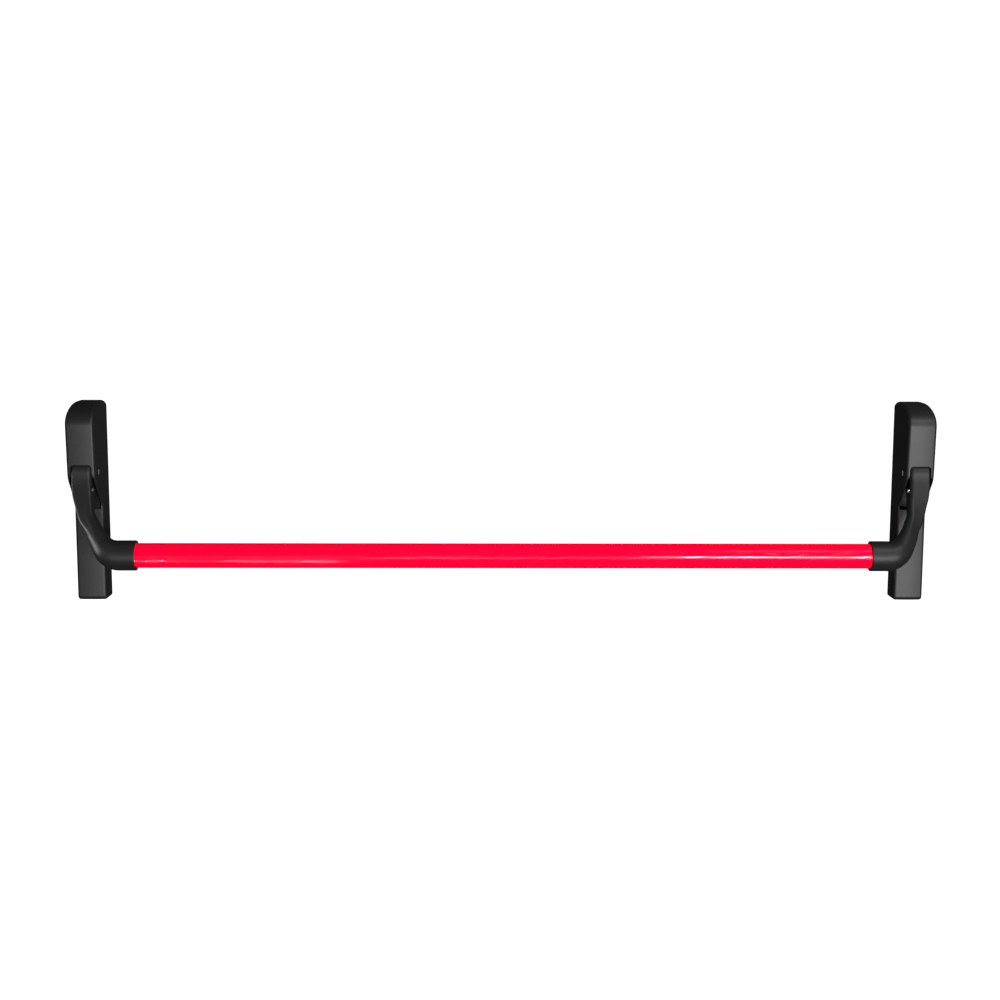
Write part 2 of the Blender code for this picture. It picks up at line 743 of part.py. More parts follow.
def return_spring(side):
    """A torsion spring round the pin: one leg to the anchor above, one to the arm's roll pin."""
    wire_radius = 0.85 * MM
    coil = 5.6 * MM
    turns = 4
    per_turn = 14
    clear = wire_radius + GAP
    pivot = Vector((PIVOT_Y, PIVOT_Z))
    foot = leg_point(pivot, coil, clear)
    leave = tangent_angle(pivot, coil, foot)
    # The coil starts at the door side, under the leg that rises to the anchor pin.
    span = math.tau * turns + (-leave % math.tau)
    steps = round(per_turn * span / math.tau)
    pitch = 2 * 4.4 * MM / span
    points = [(4.4 * MM, PIVOT_Y + coil, ANCHOR_Z + 3 * MM)]
    for step in range(steps + 1):
        angle = span * step / steps
        x = 4.4 * MM - pitch * angle
        points.append((x, PIVOT_Y + coil * math.cos(angle), PIVOT_Z - coil * math.sin(angle)))
    points.append((4.4 * MM - pitch * span, foot.x, foot.y))
    return wire(f"return_spring_{side.name}", points, wire_radius, ((0.7, 0.7, 0.7), 0.3, 1.0), side)


def leg_point(pivot, coil, clear):
    """Where the long leg ends, just behind and below the roll pin."""
    pin = Vector((SPRING_PIN_Y, SPRING_PIN_Z))
    reach = (pin - pivot).normalized()
    beside = Vector((-reach.y, reach.x))
    return pin + beside * (SPRING_PIN_RADIUS + clear) + reach * 1.5 * MM


def tangent_angle(pivot, coil, foot):
    """The angle at which the leg's line to foot leaves the coil, seen from the pivot."""
    reach = foot - pivot
    return math.atan2(reach.y, reach.x) + math.acos(coil / reach.length)


# ---------------------------------------------------------------- bar
def bar_tube(parent):
    """The red bar: a round tube between the two sockets."""
    first = SOCKET_FLOOR + 0.5 * MM + BAR_OFFSET
    last = HOUSING_SPACING - SOCKET_FLOOR - 0.5 * MM + BAR_OFFSET
    inner = TUBE_RADIUS - TUBE_WALL
    profile = [(TUBE_RADIUS, first), (TUBE_RADIUS, last), (inner, last), (inner, first)]
    bm = turned(profile, "X", (0, BAR_Y, BAR_Z), 48)
    return add_part("bar_tube", bm, ((0.86, 0.005, 0.02), 0.2, 0.0), LEFT, parent)


# ---------------------------------------------------------------- active side's drive
def slide_rest_line(depth):
    """The height of the tail's middle line at rest, at a depth from the door."""
    return PIVOT_Z - (depth - PIVOT_Y) * math.tan(TAIL_ANGLE)


def drive_slide(parent):
    """A stamped slide: a window for the arm's tail, a crank slot, guide slots and a tongue."""
    outline = [
        (1.5, 44),
        (12.7, 44),
        (12.7, -12),
        (15.2, -16),
        (15.2, -66),
        (2.5, -66),
        (2.5, -96),
        (6, -96),
        (6, -100),
        (-6, -100),
        (-6, -96),
        (-2.5, -96),
        (-2.5, -66),
        (-14, -66),
        (-14, -18),
        (1.5, -8),
    ]
    points = [(x * MM, z * MM) for x, z in outline]
    bm = extruded(points, "XZ", SLIDE_BACK, SLIDE_FRONT)
    part = add_part("drive_slide", bm, BLACK_SHEET, LEFT, parent)
    window_middle = slide_rest_line((SLIDE_BACK + SLIDE_FRONT) / 2)
    low, high = window_middle - TAIL_WINDOW / 2, window_middle + TAIL_WINDOW / 2
    shape(part, box((5.5 * MM, -28 * MM, low), (10.7 * MM, -18 * MM, high)))
    crank_z = HUB_Z - SLIDE_TRAVEL / 2
    reach = CRANK_PIN_RADIUS + GAP
    crank_x = CRANK_RADIUS * math.cos(CRANK_ANGLE)
    slot = rectangle(
        crank_x - reach, CRANK_RADIUS + reach, crank_z - reach, crank_z + reach, reach * 0.98
    )
    shape(part, extruded(slot, "XZ", -18 * MM, -28 * MM))
    wide = STUD_RADIUS + GAP
    for height in STUD_HEIGHTS:
        low, high = height - SLIDE_TRAVEL - wide, height + wide
        guide = rectangle(STUD_X - wide, STUD_X + wide, low, high, wide * 0.98)
        shape(part, extruded(guide, "XZ", -18 * MM, -28 * MM))
    return part


def guide_stud(name, height):
    """A shouldered stud that the slide runs on."""
    front = SLIDE_FRONT - GAP
    profile = [
        (0, PLATE_FRONT),
        (3.2 * MM, PLATE_FRONT),
        (3.2 * MM, SLIDE_BACK + GAP),
        (STUD_RADIUS, SLIDE_BACK + GAP),
        (STUD_RADIUS, front),
        (4.1 * MM, front),
        (4.1 * MM, front - 0.9 * MM),
        (3.6 * MM, front - 1.4 * MM),
        (0, front - 1.4 * MM),
    ]
    bm = turned(profile, "Y", (STUD_X, 0, height), 20)
    return add_part(name, bm, ((0.6, 0.6, 0.6), 0.3, 1.0))


def spindle_hub(parent):
    """The turning hub: a flanged sleeve with a square socket, a crank and its pin."""
    flange_back, flange_front = PLATE_FRONT, PLATE_FRONT - 3 * MM
    crank_back, crank_front = -16 * MM, SLIDE_BACK + GAP
    profile = [
        (0, 0),
        (8 * MM, 0),
        (8 * MM, flange_back),
        (11 * MM, flange_back),
        (11 * MM, flange_front),
        (8 * MM, flange_front),
        (8 * MM, crank_front),
        (0, crank_front),
    ]
    bm = turned(profile, "Y", (0, 0, HUB_Z), 32)
    part = add_part("spindle_hub", bm, ((0.5, 0.5, 0.5), 0.35, 1.0), LEFT, parent)
    pin_x = CRANK_RADIUS * math.cos(CRANK_ANGLE)
    pin_z = HUB_Z - CRANK_RADIUS * math.sin(CRANK_ANGLE)
    shape(part, extruded(crank_outline(), "XZ", crank_back, crank_front + 0.05 * MM), join=True)
    pin = along_y(pin_x, pin_z, crank_back, SLIDE_FRONT - 1 * MM, CRANK_PIN_RADIUS, 16)
    shape(part, pin, join=True)
    half = SPINDLE_SQUARE / 2
    square = box((-half, -11 * MM, HUB_Z - half), (half, 1 * MM, HUB_Z + half))
    shape(part, square)
    return part


def crank_outline():
    """The crank's web: two straight flanks from the hub to a round end about its pin."""
    big, small = 7.4 * MM, 3.3 * MM
    turn = -CRANK_ANGLE
    outline = []
    for radius, along, first, last in ((small, CRANK_RADIUS, -75, 75), (big, 0, 75, 285)):
        for step in range(9):
            angle = math.radians(first + (last - first) * step / 8)
            a = along + radius * math.cos(angle)
            b = radius * math.sin(angle)
            x = a * math.cos(turn) - b * math.sin(turn)
            z = HUB_Z + a * math.sin(turn) + b * math.cos(turn)
            outline.append((x, z))
    return outline


def hub_retainer():
    """A hat-shaped strap over the hub's flange, screwed to the base plate."""
    top_back, top_front = PLATE_FRONT - 3 * MM - GAP, PLATE_FRONT - 5 * MM
    side_view = [
        (PLATE_FRONT, 23 * MM),
        (PLATE_FRONT, 13.6 * MM),
        (top_back, 13.6 * MM),
        (top_back, -13.6 * MM),
        (PLATE_FRONT, -13.6 * MM),
        (PLATE_FRONT, -23 * MM),
        (PLATE_FRONT - 1.8 * MM, -23 * MM),
        (PLATE_FRONT - 1.8 * MM, -15.4 * MM),
        (top_front, -15.4 * MM),
        (top_front, 15.4 * MM),
        (PLATE_FRONT - 1.8 * MM, 15.4 * MM),
        (PLATE_FRONT - 1.8 * MM, 23 * MM),
    ]
    outline = [(y, HUB_Z + z) for y, z in side_view]
    bm = extruded(outline, "YZ", -4.6 * MM, 4.6 * MM)
    part = add_part("hub_retainer", bm, ((0.6, 0.6, 0.58), 0.4, 0.9))
    disc = along_y(0, HUB_Z, top_back - 0.05 * MM, top_front + 0.05 * MM, 11.3 * MM, 32)
    shape(part, disc, join=True)
    shape(part, along_y(0, HUB_Z, -2 * MM, -12 * MM, 8.4 * MM, 32))
    for way in (1, -1):
        height = HUB_Z + way * RETAINER_SCREW_DROP
        shape(part, along_y(0, height, -2 * MM, -8 * MM, 1.8 * MM, 16))
    return part


def retainer_screw(name, way):
    """A pan-headed screw with a slot."""
    height = HUB_Z + way * RETAINER_SCREW_DROP
    seat = PLATE_FRONT - 1.8 * MM - GAP
    profile = [
        (0, PLATE_FRONT),
        (1.5 * MM, PLATE_FRONT),
        (1.5 * MM, seat),
        (3 * MM, seat),
        (3 * MM, seat - 1.2 * MM),
        (2.4 * MM, seat - 1.8 * MM),
        (0, seat - 1.8 * MM),
    ]
    bm = turned(profile, "Y", (0, 0, height), 16)
    part = add_part(name, bm, ((0.6, 0.6, 0.6), 0.3, 1.0))
    slot_low = (-4 * MM, seat - 3 * MM, height - 0.4 * MM)
    slot_high = (4 * MM, seat - 1.0 * MM, height + 0.4 * MM)
    shape(part, box(slot_low, slot_high))
    return part


def spring_seat():
    """A bent bracket on the base plate that the slide's tongue runs through."""
    outline = [
        (PLATE_FRONT, SEAT_TOP),
        (-27 * MM, SEAT_TOP),
        (-27 * MM, SEAT_BOTTOM),
        (PLATE_FRONT - 2 * MM, SEAT_BOTTOM),
        (PLATE_FRONT - 2 * MM, SEAT_BOTTOM - 7 * MM),
        (PLATE_FRONT, SEAT_BOTTOM - 7 * MM),
    ]
    bm = extruded(outline, "YZ", -8 * MM, 8 * MM)
    part = add_part("spring_seat", bm, ((0.6, 0.6, 0.58), 0.4, 0.9))
    low = (-2.9 * MM, SLIDE_FRONT - 0.4 * MM, SEAT_BOTTOM - 1 * MM)
    high = (2.9 * MM, SLIDE_BACK + 0.4 * MM, SEAT_TOP + 1 * MM)
    shape(part, box(low, high))
    return part


def slide_spring():
    """A compression spring between the seat and the slide's cross-head."""
    wire_radius = 0.5 * MM
    radius = 4.1 * MM
    top = SEAT_BOTTOM - wire_radius - GAP
    bottom = -96 * MM + wire_radius + GAP
    turns, per_turn = 8, 12
    steps = turns * per_turn
    middle_y = (SLIDE_BACK + SLIDE_FRONT) / 2
    points = []
    for step in range(steps + 1):
        angle = math.tau * step / per_turn
        height = top + (bottom - top) * step / steps
        points.append((radius * math.cos(angle), middle_y + radius * math.sin(angle), height))
    return wire("slide_spring", points, wire_radius, ((0.7, 0.7, 0.7), 0.3, 1.0), LEFT)


# ---------------------------------------------------------------- assembly
def build_housing(side, bar_axis):
    """Everything that both ends of the bar have."""
    cover(side)
    base_plate(side, active=side is LEFT)
    pivot_bracket(side)
    for n, height in enumerate(RIVET_HEIGHTS, 1):
        rivet(f"bracket_rivet_{side.name}_{n}", side, height)
    pivot_pin(side)
    anchor_pin(side)
    bump_stop(side)
    cover_screw(side)
    return_spring(side)
    arm(side, bar_axis)
    grub_screw(side, bar_axis)
    spring_pin(side, bar_axis)
    bush(f"arm_bush_{side.name}_outer", side, bar_axis, -1)
    bush(f"arm_bush_{side.name}_inner", side, bar_axis, 1)


def build_drive(slide_axis, hub_axis):
    """The active side's slide and hub, which turn the lock's spindle."""
    drive_slide(slide_axis)
    slide_spring()
    for n, height in enumerate(STUD_HEIGHTS, 1):
        guide_stud(f"guide_stud_{n}", height)
    spindle_hub(hub_axis)
    hub_retainer()
    for n, way in enumerate((1, -1), 1):
        retainer_screw(f"retainer_screw_{n}", way)
    spring_seat()


clear_scene()
PARTS = new_collection("panic_exit_bar")
TOOLS = new_collection("tools")
bar_axis_empty = joint_empty("bar_axis", (HOUSING_SPACING / 2, PIVOT_Y, PIVOT_Z))
slide_axis_empty = joint_empty("slide_axis", (0, (SLIDE_BACK + SLIDE_FRONT) / 2, HUB_Z))
hub_axis_empty = joint_empty("hub_axis", (0, 0, HUB_Z))
bpy.context.view_layer.update()
build_housing(LEFT, bar_axis_empty)
build_housing(RIGHT, bar_axis_empty)
bar_tube(bar_axis_empty)
build_drive(slide_axis_empty, hub_axis_empty)
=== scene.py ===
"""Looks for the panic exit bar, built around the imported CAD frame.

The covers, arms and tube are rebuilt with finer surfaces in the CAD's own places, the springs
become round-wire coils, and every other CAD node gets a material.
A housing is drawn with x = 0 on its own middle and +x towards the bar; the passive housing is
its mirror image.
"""

import json
import math

import bmesh
import bpy
from mathutils import Matrix, Vector


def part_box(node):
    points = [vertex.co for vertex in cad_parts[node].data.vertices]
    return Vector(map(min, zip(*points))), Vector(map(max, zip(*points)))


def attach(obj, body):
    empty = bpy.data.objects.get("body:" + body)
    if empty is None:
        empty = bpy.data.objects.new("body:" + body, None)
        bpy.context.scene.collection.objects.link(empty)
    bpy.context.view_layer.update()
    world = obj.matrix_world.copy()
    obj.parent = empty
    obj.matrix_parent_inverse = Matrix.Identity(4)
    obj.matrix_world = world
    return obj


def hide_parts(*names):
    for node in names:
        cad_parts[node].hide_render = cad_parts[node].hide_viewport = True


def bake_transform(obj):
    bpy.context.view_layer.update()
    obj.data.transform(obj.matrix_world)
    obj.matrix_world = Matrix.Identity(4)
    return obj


MM = 0.001
FINISHES = {}
WORLD = {"matrix": Matrix.Identity(4), "inward": 1}


# ---------------------------------------------------------------- node materials
class Finish:
    """A Principled material whose node tree is built a step at a time."""

    def __init__(self, name, colour, roughness, metallic=0.0, **sockets):
        self.material = bpy.data.materials.new(name)
        self.material.use_nodes = True
        self.tree = self.material.node_tree
        self.shader = self.tree.nodes["Principled BSDF"]
        self.shader.inputs["Base Color"].default_value = (*colour, 1)
        self.shader.inputs["Roughness"].default_value = roughness
        self.shader.inputs["Metallic"].default_value = metallic
        for socket, value in sockets.items():
            self.shader.inputs[socket.replace("_", " ")].default_value = value
        self.bump = None
        self.place = self.node("ShaderNodeTexCoord").outputs["Object"]
        FINISHES[name] = self

    def node(self, kind, **settings):
        made = self.tree.nodes.new(kind)
        for key, value in settings.items():
            setattr(made, key, value)
        return made

    def link(self, source, target):
        self.tree.links.new(source, target)

    def noise(self, scale, detail=3.0, stretch=(1, 1, 1), offset=0.0, distortion=0.0):
        """A noise value whose cells are 1/scale metres, stretched along the axes."""
        mapping = self.node("ShaderNodeMapping")
        mapping.inputs["Scale"].default_value = [scale * s for s in stretch]
        mapping.inputs["Location"].default_value = (offset, offset * 0.7, offset * 0.3)
        self.link(self.place, mapping.inputs["Vector"])
        noise = self.node("ShaderNodeTexNoise")
        noise.inputs["Scale"].default_value = 1.0
        noise.inputs["Detail"].default_value = detail
        noise.inputs["Distortion"].default_value = distortion
        self.link(mapping.outputs["Vector"], noise.inputs["Vector"])
        return noise.outputs["Fac"]

    def spread(self, value, low, high, start=0.3, end=0.7):
        """Maps a noise value's middle range on to low..high."""
        ramp = self.node("ShaderNodeMapRange", clamp=True)
        ramp.inputs["From Min"].default_value = start
        ramp.inputs["From Max"].default_value = end
        ramp.inputs["To Min"].default_value = low
        ramp.inputs["To Max"].default_value = high
        self.link(value, ramp.inputs["Value"])
        return ramp.outputs["Result"]

    def mix(self, factor, first, second):
        """Blends two colours by a 0..1 value. Each is a colour or a socket."""
        mixer = self.node("ShaderNodeMix", data_type="RGBA")
        self.link(factor, mixer.inputs[0])
        for socket, value in ((mixer.inputs[6], first), (mixer.inputs[7], second)):
            if isinstance(value, tuple):
                socket.default_value = (*value, 1)
            else:
                self.link(value, socket)
        return mixer.outputs[2]

    def relief(self, value, depth, strength=1.0):
        """Adds a bump layer with the value's full swing as depth, in metres."""
        bump = self.node("ShaderNodeBump")
        bump.inputs["Strength"].default_value = strength
        bump.inputs["Distance"].default_value = depth
        self.link(value, bump.inputs["Height"])
        if self.bump:
            self.link(self.bump, bump.inputs["Normal"])
        self.bump = bump.outputs["Normal"]
        self.link(self.bump, self.shader.inputs["Normal"])

    def set(self, socket, value):
        self.link(value, self.shader.inputs[socket])


def satin_black(name, colour, roughness, shine, grain, grain_depth):
    """Satin black coating: fine grain, faint mottling and specks of dust."""
    f = Finish(name, colour, roughness, Specular_IOR_Level=shine)
    lighter = tuple(c * 1.12 + 0.0005 for c in colour)
    worn = tuple(c * 2.2 + 0.01 for c in colour)
    mottle = f.spread(f.noise(620, 6), 0, 1, 0.35, 0.75)
    base = f.mix(mottle, colour, lighter)
    dust = f.spread(f.noise(5200, 4, offset=3), 0.0, 0.5, 0.62, 0.72)
    f.set("Base Color", f.mix(dust, base, worn))
    f.set("Roughness", f.spread(f.noise(900, 6, offset=1), roughness - 0.02, roughness + 0.03))
    f.relief(f.noise(grain, 2, offset=2), grain_depth)


def gloss_red():
    """Red stoved coating over the drawn tube, with faint orange peel and handling marks."""
    f = Finish(
        "red_tube", (0.90, 0.0005, 0.02), 0.4,
        Specular_IOR_Level=0.0, Coat_Weight=0.05, Coat_Roughness=0.05,
    )
    shade = f.spread(f.noise(22, 4, (0.3, 1, 1)), 0, 1)
    f.set("Base Color", f.mix(shade, (0.88, 0.0004, 0.018), (0.92, 0.0006, 0.022)))
    f.set("Roughness", f.spread(f.noise(70, 5, (0.25, 1, 1), offset=4), 0.34, 0.46))
    f.relief(f.noise(420, 1, offset=1), 0.000006, 0.5)


def black_sheet_and_painted_shade():
    """Black-coated steel sheet: thin matt paint over rolling lines, with pale rub marks. Its
    near-black tone is partly painted shade for the dark inside of the covers.
    """
    # near-black base colours: a black coating, darkened further as painted shade for the inside of
    # the covers
    f = Finish("black_sheet", (0.004, 0.004, 0.0045), 0.5, Specular_IOR_Level=0.12)
    rubs = f.spread(f.noise(240, 5, (1, 1, 0.3), offset=4), 0, 0.6, 0.6, 0.75)
    f.set("Base Color", f.mix(rubs, (0.0038, 0.0038, 0.0042), (0.016, 0.016, 0.016)))
    f.set("Roughness", f.spread(f.noise(500, 4, offset=2), 0.42, 0.6))
    f.relief(f.noise(1500, 2, (1, 1, 0.05), offset=1), 0.000012, 0.6)
    f.relief(f.noise(2400, 2, offset=3), 0.00001, 0.5)


def plated_sheet():
    """Zinc-plated steel sheet: rolling lines, a spangled haze and a warm passivated tint."""
    f = Finish("zinc_steel", (0.6, 0.6, 0.58), 0.36, 1.0)
    cloud = f.spread(f.noise(26, 6), 0, 1)
    tint = f.mix(cloud, (0.56, 0.57, 0.58), (0.66, 0.63, 0.55))
    spots = f.spread(f.noise(420, 3, offset=6), 0, 0.35, 0.5, 0.68)
    f.set("Base Color", f.mix(spots, tint, (0.42, 0.43, 0.45)))
    lines = f.noise(1500, 2, (1, 1, 0.02), offset=1)
    f.set("Roughness", f.spread(lines, 0.26, 0.46))
    f.relief(lines, 0.000012, 0.5)
    f.relief(f.noise(180, 3, offset=2), 0.00003, 0.25)


def turned_steel(name, colour, roughness):
    """Machined steel with fine cutting lines and small dark specks."""
    f = Finish(name, colour, roughness, 0.85)
    cloud = f.spread(f.noise(160, 5), 0, 1)
    darker = tuple(c * 0.72 for c in colour)
    f.set("Base Color", f.mix(cloud, darker, colour))
    cuts = f.noise(3600, 2, (1, 0.2, 0.2), offset=2)
    f.set("Roughness", f.spread(cuts, roughness - 0.07, roughness + 0.1))
    f.relief(cuts, 0.00001, 0.5)


def natural_nylon():
    """Off-white moulded nylon with faint flow marks."""
    f = Finish("nylon", (0.8, 0.79, 0.74), 0.45, Subsurface_Weight=0.25, Subsurface_Scale=0.002)
    flow = f.spread(f.noise(240, 4, distortion=0.6), 0, 1)
    f.set("Base Color", f.mix(flow, (0.74, 0.73, 0.67), (0.83, 0.82, 0.78)))
    f.set("Roughness", f.spread(f.noise(600, 3, offset=2), 0.36, 0.56))
    f.relief(f.noise(1800, 2), 0.000015, 0.6)


def black_rubber():
    """Matt black rubber with a pale bloom."""
    f = Finish("black_rubber", (0.02, 0.02, 0.021), 0.8)
    bloom = f.spread(f.noise(300, 5), 0, 1, 0.4, 0.75)
    f.set("Base Color", f.mix(bloom, (0.016, 0.016, 0.017), (0.05, 0.05, 0.05)))
    f.set("Roughness", f.spread(f.noise(900, 3, offset=1), 0.68, 0.92))
    f.relief(f.noise(2600, 2, offset=2), 0.00003, 0.7)


def make_finishes():
    satin_black("black_cover", (0.0085, 0.0085, 0.009), 0.46, 0.235, 2600, 0.000008)
    satin_black("black_arm", (0.009, 0.009, 0.0095), 0.44, 0.16, 2200, 0.000008)
    gloss_red()
    plated_sheet()
    black_sheet_and_painted_shade()
    turned_steel("bright_steel", (0.3, 0.3, 0.295), 0.24)
    turned_steel("spring_steel", (0.55, 0.55, 0.56), 0.24)
    turned_steel("black_steel", (0.06, 0.06, 0.065), 0.4)
    natural_nylon()
    black_rubber()


# ---------------------------------------------------------------- mesh helpers
def rounded(corners, steps=14):
    """An outline from (a, b, radius) corners, with an arc at each corner that has a radius."""
    outline = []
    count = len(corners)
    for n, (a, b, radius) in enumerate(corners):
        here = Vector((a, b))
        if not radius:
            outline.append((a, b))
            continue
        before = (Vector(corners[n - 1][:2]) - here).normalized()
        after = (Vector(corners[(n + 1) % count][:2]) - here).normalized()
        half = before.angle(after) / 2
        reach = radius / math.tan(half)
        centre = here + (before + after).normalized() * radius / math.sin(half)
        first = here + before * reach - centre
        last = here + after * reach - centre
        turn = first.angle_signed(last)
        for step in range(steps + 1):
            outline.append(tuple(centre + Matrix.Rotation(-turn * step / steps, 2) @ first))
    return outline


def extruded(outline, plane, start, end):
    """An outline drawn in the XZ or YZ plane and drawn out along the third axis."""
    bm = bmesh.new()
    if plane == "XZ":
        corners = [bm.verts.new((a, start, b)) for a, b in outline]
        pull = (0, end - start, 0)
    else:
        corners = [bm.verts.new((start, a, b)) for a, b in outline]
        pull = (end - start, 0, 0)
    face = bm.faces.new(corners)
    grown = bmesh.ops.extrude_face_region(bm, geom=[face])["geom"]
    bmesh.ops.translate(bm, vec=pull, verts=[g for g in grown if isinstance(g, bmesh.types.BMVert)])
    return bm


def rod(start, end, radius, segments=32):
    """A round bar between two points."""
    bm = bmesh.new()
    start, end = Vector(start), Vector(end)
    length = (end - start).length
    bmesh.ops.create_cone(
        bm, cap_ends=True, segments=segments, radius1=radius, radius2=radius, depth=length
    )
    turn = (end - start).to_track_quat("Z", "Y").to_matrix().to_4x4()
    bmesh.ops.transform(bm, matrix=Matrix.Translation((start + end) / 2) @ turn, verts=bm.verts)
    return bm


def lofted(rings, close=True):
    """A skin over rings that have the same number of points."""
    bm = bmesh.new()
    rows = [[bm.verts.new(point) for point in one] for one in rings]
    count = len(rows[0])
    for upper, lower in zip(rows[:-1], rows[1:]):
        for n in range(count):
            m = (n + 1) % count
            bm.faces.new((upper[n], upper[m], lower[m], lower[n]))
    if close:
        bm.faces.new(rows[0])
        bm.faces.new(list(reversed(rows[-1])))
    return bm


def piece(name, bm, side):
    """A mesh object from a housing drawing, placed for its side."""
    bmesh.ops.recalc_face_normals(bm, faces=bm.faces)
    bmesh.ops.transform(bm, matrix=side["matrix"], verts=bm.verts)
    if side["inward"] < 0:
        bmesh.ops.reverse_faces(bm, faces=bm.faces)
    mesh = bpy.data.meshes.new(name)
    bm.to_mesh(mesh)
    bm.free()
    made = bpy.data.objects.new(name, mesh)
    bpy.context.scene.collection.objects.link(made)
    return made


def cut(target, bm, side, join=False):
    """Applies one Boolean to the target's mesh at once, so that no cutter is left behind."""
    tool = piece(target.name + "_tool", bm, side)
    change = target.modifiers.new("cut", "BOOLEAN")
    change.operation = "UNION" if join else "DIFFERENCE"
    change.solver = "EXACT"
    change.object = tool
    apply_modifiers(target)
    bpy.data.objects.remove(tool)


def apply_modifiers(target):
    """Turns a piece's modifiers into plain mesh."""
    graph = bpy.context.evaluated_depsgraph_get()
    mesh = bpy.data.meshes.new_from_object(target.evaluated_get(graph))
    target.modifiers.clear()
    target.data = mesh


def finish_piece(made, finish, body, node, sharp):
    """Shades a finished piece, gives it its material and puts it in its CAD node's place."""
    made.data.shade_smooth()
    made.data.set_sharp_from_angle(angle=math.radians(sharp))
    made.data.materials.clear()
    made.data.materials.append(FINISHES[finish].material)
    flat = made.modifiers.new("flat_faces", "WEIGHTED_NORMAL")
    flat.keep_sharp = True
    flat.weight = 90
    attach(made, body)
    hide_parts(node)


# ---------------------------------------------------------------- covers
TOP_CORNER = Vector((-69 * MM, 124 * MM))
TOP_SWEEP = 50 * MM
TOP_DROP = 27 * MM
KNEE = Vector((-63.1 * MM, 31.4 * MM))
LOWER_PROFILE = [(-63.1, 31.4, 22), (-30, -2.5, 10), (-30, -124, 5.2), (0, -124, 0)]
COVER_WIDTH_AT_DOOR = 37.0 * MM
COVER_TAPER = 2.6 / 68
COVER_FOOT = -124 * MM
COVER_WALL = 2 * MM
LARGEST_BEVEL = 7.5 * MM
HEAD_START = 95 * MM
SLOT_HALF_WIDTH = 13 * MM
SLOT_TOP = 49.5 * MM
SLOT_CORNER = 4.5 * MM
MOUTH_HALF_WIDTH = 15 * MM
MOUTH_SHOULDER = 33 * MM
MOUTH_BOTTOM = -9 * MM
PIN_HOLE_RADIUS = 4.1 * MM
SCREW_HOLE_RADIUS = 4.2 * MM
SCREW_DEPTH = -10 * MM
PIVOT = Vector((0, -45 * MM, 39 * MM))
CROWN = 1.1 * MM
CROWN_HALF_WIDTH = 17.2 * MM
CROWN_STRIPS = 5
CROWN_RISE = 20 * MM
ON_DOOR = 0.01 * MM


def cover_half_width(depth):
    """The covers narrow slightly away from the door."""
    return (COVER_WIDTH_AT_DOOR - COVER_TAPER * abs(depth)) / 2


def swept_corner(start, corner, end, steps):
    """A quarter of an ellipse inside a corner, tangent to both of the corner's sides."""
    pull = 2 * math.cos(math.pi / 4)
    points = []
    for step in range(steps + 1):
        t = step / steps
        a, b, c = (1 - t) ** 2, pull * t * (1 - t), t**2
        points.append(tuple((start * a + corner * b + end * c) / (a + b + c)))
    return points


def cover_profile():
    """The cover's side view: a deep head with a swept top, a slope, and a shallow lower part."""
    start = TOP_CORNER + Vector((TOP_SWEEP, 0))
    end = TOP_CORNER + (KNEE - TOP_CORNER).normalized() * TOP_DROP
    lower = [(*end, 0)] + [(a * MM, b * MM, r * MM) for a, b, r in LOWER_PROFILE]
    head = swept_corner(start, TOP_CORNER, end, 24)
    return [(0, TOP_CORNER.y)] + head + rounded(lower, 16)[1:]


def build_cover(side):
    """A hollow cover, open at the door, with the arm's slot and mouth and two small holes."""
    bm = extruded(cover_profile(), "YZ", -0.5, 0.5)
    for vert in bm.verts:
        vert.co.x = math.copysign(cover_half_width(vert.co.y), vert.co.x)
    back = [f for f in bm.faces if all(abs(v.co.y) < ON_DOOR for v in f.verts)]
    bmesh.ops.delete(bm, geom=back, context="FACES_ONLY")
    bmesh.ops.delete(bm, geom=[e for e in bm.edges if not e.link_faces], context="EDGES")
    made = piece(f"cover_shell_{side['name']}", bm, side)
    weigh_cover_edges(made.data, side)
    hollow_cover(made)
    crown_front(made, side)
    cut_cover(made, side)
    soften = made.modifiers.new("cut_edges", "BEVEL")
    soften.limit_method = "ANGLE"
    soften.angle_limit = math.radians(50)
    soften.width = 0.45 * MM
    soften.segments = 3
    soften.harden_normals = False
    finish_piece(made, "black_cover", "housings", f"cover_{side['name']}", 40)


def hollow_cover(made):
    """Rounds the weighed edges and gives the skin its wall."""
    soften = made.modifiers.new("soft_edges", "BEVEL")
    soften.limit_method = "WEIGHT"
    soften.width = LARGEST_BEVEL
    soften.segments = 7
    soften.use_clamp_overlap = False
    wall = made.modifiers.new("wall", "SOLIDIFY")
    wall.thickness = COVER_WALL
    wall.offset = -1
    wall.use_even_offset = True
    apply_modifiers(made)


def cut_cover(made, side):
    """The slot in the front, the wider mouth below it, the pin hole and the screw hole."""
    half = SLOT_HALF_WIDTH
    slot = rounded(
        [(-half, SLOT_TOP, SLOT_CORNER), (half, SLOT_TOP, SLOT_CORNER),
         (half, 20 * MM, 0), (-half, 20 * MM, 0)]
    )
    cut(made, extruded(slot, "XZ", -80 * MM, -50 * MM), side)
    half = MOUTH_HALF_WIDTH
    mouth = rounded(
        [(-12 * MM, 37 * MM, 0), (12 * MM, 37 * MM, 0), (half, MOUTH_SHOULDER, 4 * MM),
         (half, MOUTH_BOTTOM, 0), (-half, MOUTH_BOTTOM, 0), (-half, MOUTH_SHOULDER, 4 * MM)]
    )
    cut(made, extruded(mouth, "XZ", -80 * MM, -20 * MM), side)
    pin_hole = rod((10 * MM, PIVOT.y, PIVOT.z), (30 * MM, PIVOT.y, PIVOT.z), PIN_HOLE_RADIUS)
    cut(made, pin_hole, side)
    under, inside = COVER_FOOT - 1 * MM, COVER_FOOT + 4 * MM
    cut(made, rod((0, SCREW_DEPTH, under), (0, SCREW_DEPTH, inside), SCREW_HOLE_RADIUS), side)


